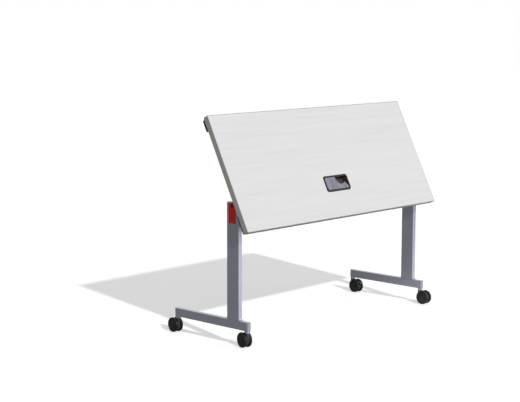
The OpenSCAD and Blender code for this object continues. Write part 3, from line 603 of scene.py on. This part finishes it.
def reckon(tree, operation, a, b):
    """The result of an operation, such as MULTIPLY, on two sockets."""
    out = tree.nodes.new("ShaderNodeMath")
    out.operation = operation
    tree.links.new(a, out.inputs[0])
    tree.links.new(b, out.inputs[1])
    return out.outputs[0]


def blank(owner, kind):
    """An empty node tree and its output, and two factors: 1 to the camera, and 1 in reflections."""
    owner.use_nodes = True
    tree = owner.node_tree
    tree.nodes.clear()
    rays = tree.nodes.new("ShaderNodeLightPath").outputs
    mirrored = reckon(tree, "MAXIMUM", rays["Is Glossy Ray"], rays["Is Transmission Ray"])
    return tree, tree.nodes.new(kind).inputs["Surface"], rays["Is Camera Ray"], mirrored


def between(tree, low, high, fac):
    """A number from low to high as fac, a socket, goes from 0 to 1; low and high may be sockets too."""
    mix = tree.nodes.new("ShaderNodeMix")
    mix.data_type = "FLOAT"
    tree.links.new(fac, mix.inputs[0])
    for socket, value in ((mix.inputs[2], low), (mix.inputs[3], high)):
        if hasattr(value, "is_output"):
            tree.links.new(value, socket)
        else:
            socket.default_value = value
    return mix.outputs[0]


def across(tree, vector, way, start, end, low, high):
    """A number that goes from low to high as a vector's reach along way goes from start to end."""
    reach = tree.nodes.new("ShaderNodeVectorMath")
    reach.operation = "DOT_PRODUCT"
    tree.links.new(vector, reach.inputs[0])
    reach.inputs[1].default_value = way
    fade = tree.nodes.new("ShaderNodeMapRange")
    for name, value in (("From Min", start), ("From Max", end), ("To Min", low), ("To Max", high)):
        fade.inputs[name].default_value = value
    tree.links.new(reach.outputs["Value"], fade.inputs["Value"])
    return fade.outputs["Result"]


def floor():
    """White to the camera, with the table's shadow; darker as bounced light and in some reflections."""
    bm = bmesh.new()
    half, steps = 30.0, 6
    places = [(2 * i / steps - 1) * half for i in range(steps + 1)]
    grid = [[bm.verts.new((x, y, 0.0)) for x in places] for y in places]
    for j in range(steps):
        for i in range(steps):
            bm.faces.new([grid[j][i], grid[j][i + 1], grid[j + 1][i + 1], grid[j + 1][i]])
    mesh = bpy.data.meshes.new("floor")
    bm.to_mesh(mesh)
    bm.free()
    mat = bpy.data.materials.new("floor")
    tree, surface, direct, mirrored = blank(mat, "ShaderNodeOutputMaterial")
    place = tree.nodes.new("ShaderNodeNewGeometry").outputs["Position"]

    def level(lit, seen):
        """seen to the camera and lit as bounced light; it fades in reflections."""
        left = across(tree, place, (0.35, -1, 0), -0.1, 0.5, MIRRORED_LEFT * seen, seen)
        right = across(tree, place, (1, 0, 0), 1.5, 3.0, 1.0, MIRRORED_RIGHT)
        fading = reckon(tree, "MULTIPLY", left, right)
        return between(tree, between(tree, lit, fading, mirrored), seen, direct)

    diffuse = tree.nodes.new("ShaderNodeBsdfDiffuse")
    tree.links.new(level(FLOOR_LIT, FLOOR_SEEN), diffuse.inputs["Color"])
    glow = tree.nodes.new("ShaderNodeEmission")
    tree.links.new(level(0.0, FLOOR_GLOW), glow.inputs["Strength"])
    both = tree.nodes.new("ShaderNodeAddShader")
    tree.links.new(diffuse.outputs[0], both.inputs[0])
    tree.links.new(glow.outputs[0], both.inputs[1])
    tree.links.new(both.outputs[0], surface)
    mesh.materials.append(mat)
    piece = bpy.data.objects.new("floor", mesh)
    scene.collection.objects.link(piece)


def sky():
    """White to the camera; as light it falls off to the left, and in reflections to both sides."""
    world = bpy.data.worlds.new("studio")
    scene.world = world
    tree, surface, direct, mirrored = blank(world, "ShaderNodeOutputWorld")
    back = tree.nodes.new("ShaderNodeBackground")
    back.inputs["Color"].default_value = WHITE
    way = tree.nodes.new("ShaderNodeTexCoord").outputs["Generated"]
    lit = across(tree, way, (1, 0, 0), -1.0, 1.0, 0.23, 0.36)
    left = across(tree, way, (1, 0, 0), -0.75, 0.35, MIRRORED_LEFT, 1.0)
    right = across(tree, way, (1, 0, 0), 0.72, 0.92, 1.0, MIRRORED_RIGHT)
    fading = reckon(tree, "MULTIPLY", left, right)
    strength = between(tree, between(tree, lit, fading, mirrored), 1.0, direct)
    tree.links.new(strength, back.inputs["Strength"])
    tree.links.new(back.outputs[0], surface)


def lamp(name, kind, energy, direction, **values):
    """A lamp that shines from direction towards the origin; an area lamp also stands there, in metres."""
    data = bpy.data.lights.new(name, kind)
    data.energy = energy
    for key, value in values.items():
        setattr(data, key, value)
    body = bpy.data.objects.new(name, data)
    body.location = direction
    body.rotation_mode = "QUATERNION"
    body.rotation_quaternion = Vector(direction).to_track_quat("Z", "Y")
    scene.collection.objects.link(body)


def lamps():
    lamp("key", "SUN", 2.08, (-0.24, -0.787, 0.568), angle=math.radians(1.6))
    lamp("side", "AREA", 120.0, (6.0, -9.5, 3.0), shape="SQUARE", size=5.0)


def camera():
    """The camera fitted to the photograph, with its focal length in the photograph's pixels."""
    place, focal, photo_width = Vector((-5.336449, -4.599895, 1.606503)), 1337.651, 520
    yaw, pitch, roll = (math.radians(a) for a in (-47.277, -7.912, 0.110))
    ahead = Vector((math.sin(-yaw) * math.cos(pitch), math.cos(yaw) * math.cos(pitch), math.sin(pitch)))
    right = ahead.cross(Vector((0, 0, 1))).normalized()
    up = right.cross(ahead)
    right, up = (math.cos(roll) * right + math.sin(roll) * up,
                 math.cos(roll) * up - math.sin(roll) * right)
    data = bpy.data.cameras.new("camera")
    data.sensor_fit = "HORIZONTAL"
    data.sensor_width = 36
    data.lens = focal * data.sensor_width / photo_width
    data.clip_start, data.clip_end = 0.1, 60
    cam = bpy.data.objects.new("camera", data)
    turn = Matrix((right, up, -ahead)).transposed().to_4x4()
    cam.matrix_world = Matrix.Translation(place) @ turn
    scene.collection.objects.link(cam)
    scene.camera = cam


floor()
sky()
lamps()
camera()
scene.view_settings.view_transform = "Standard"
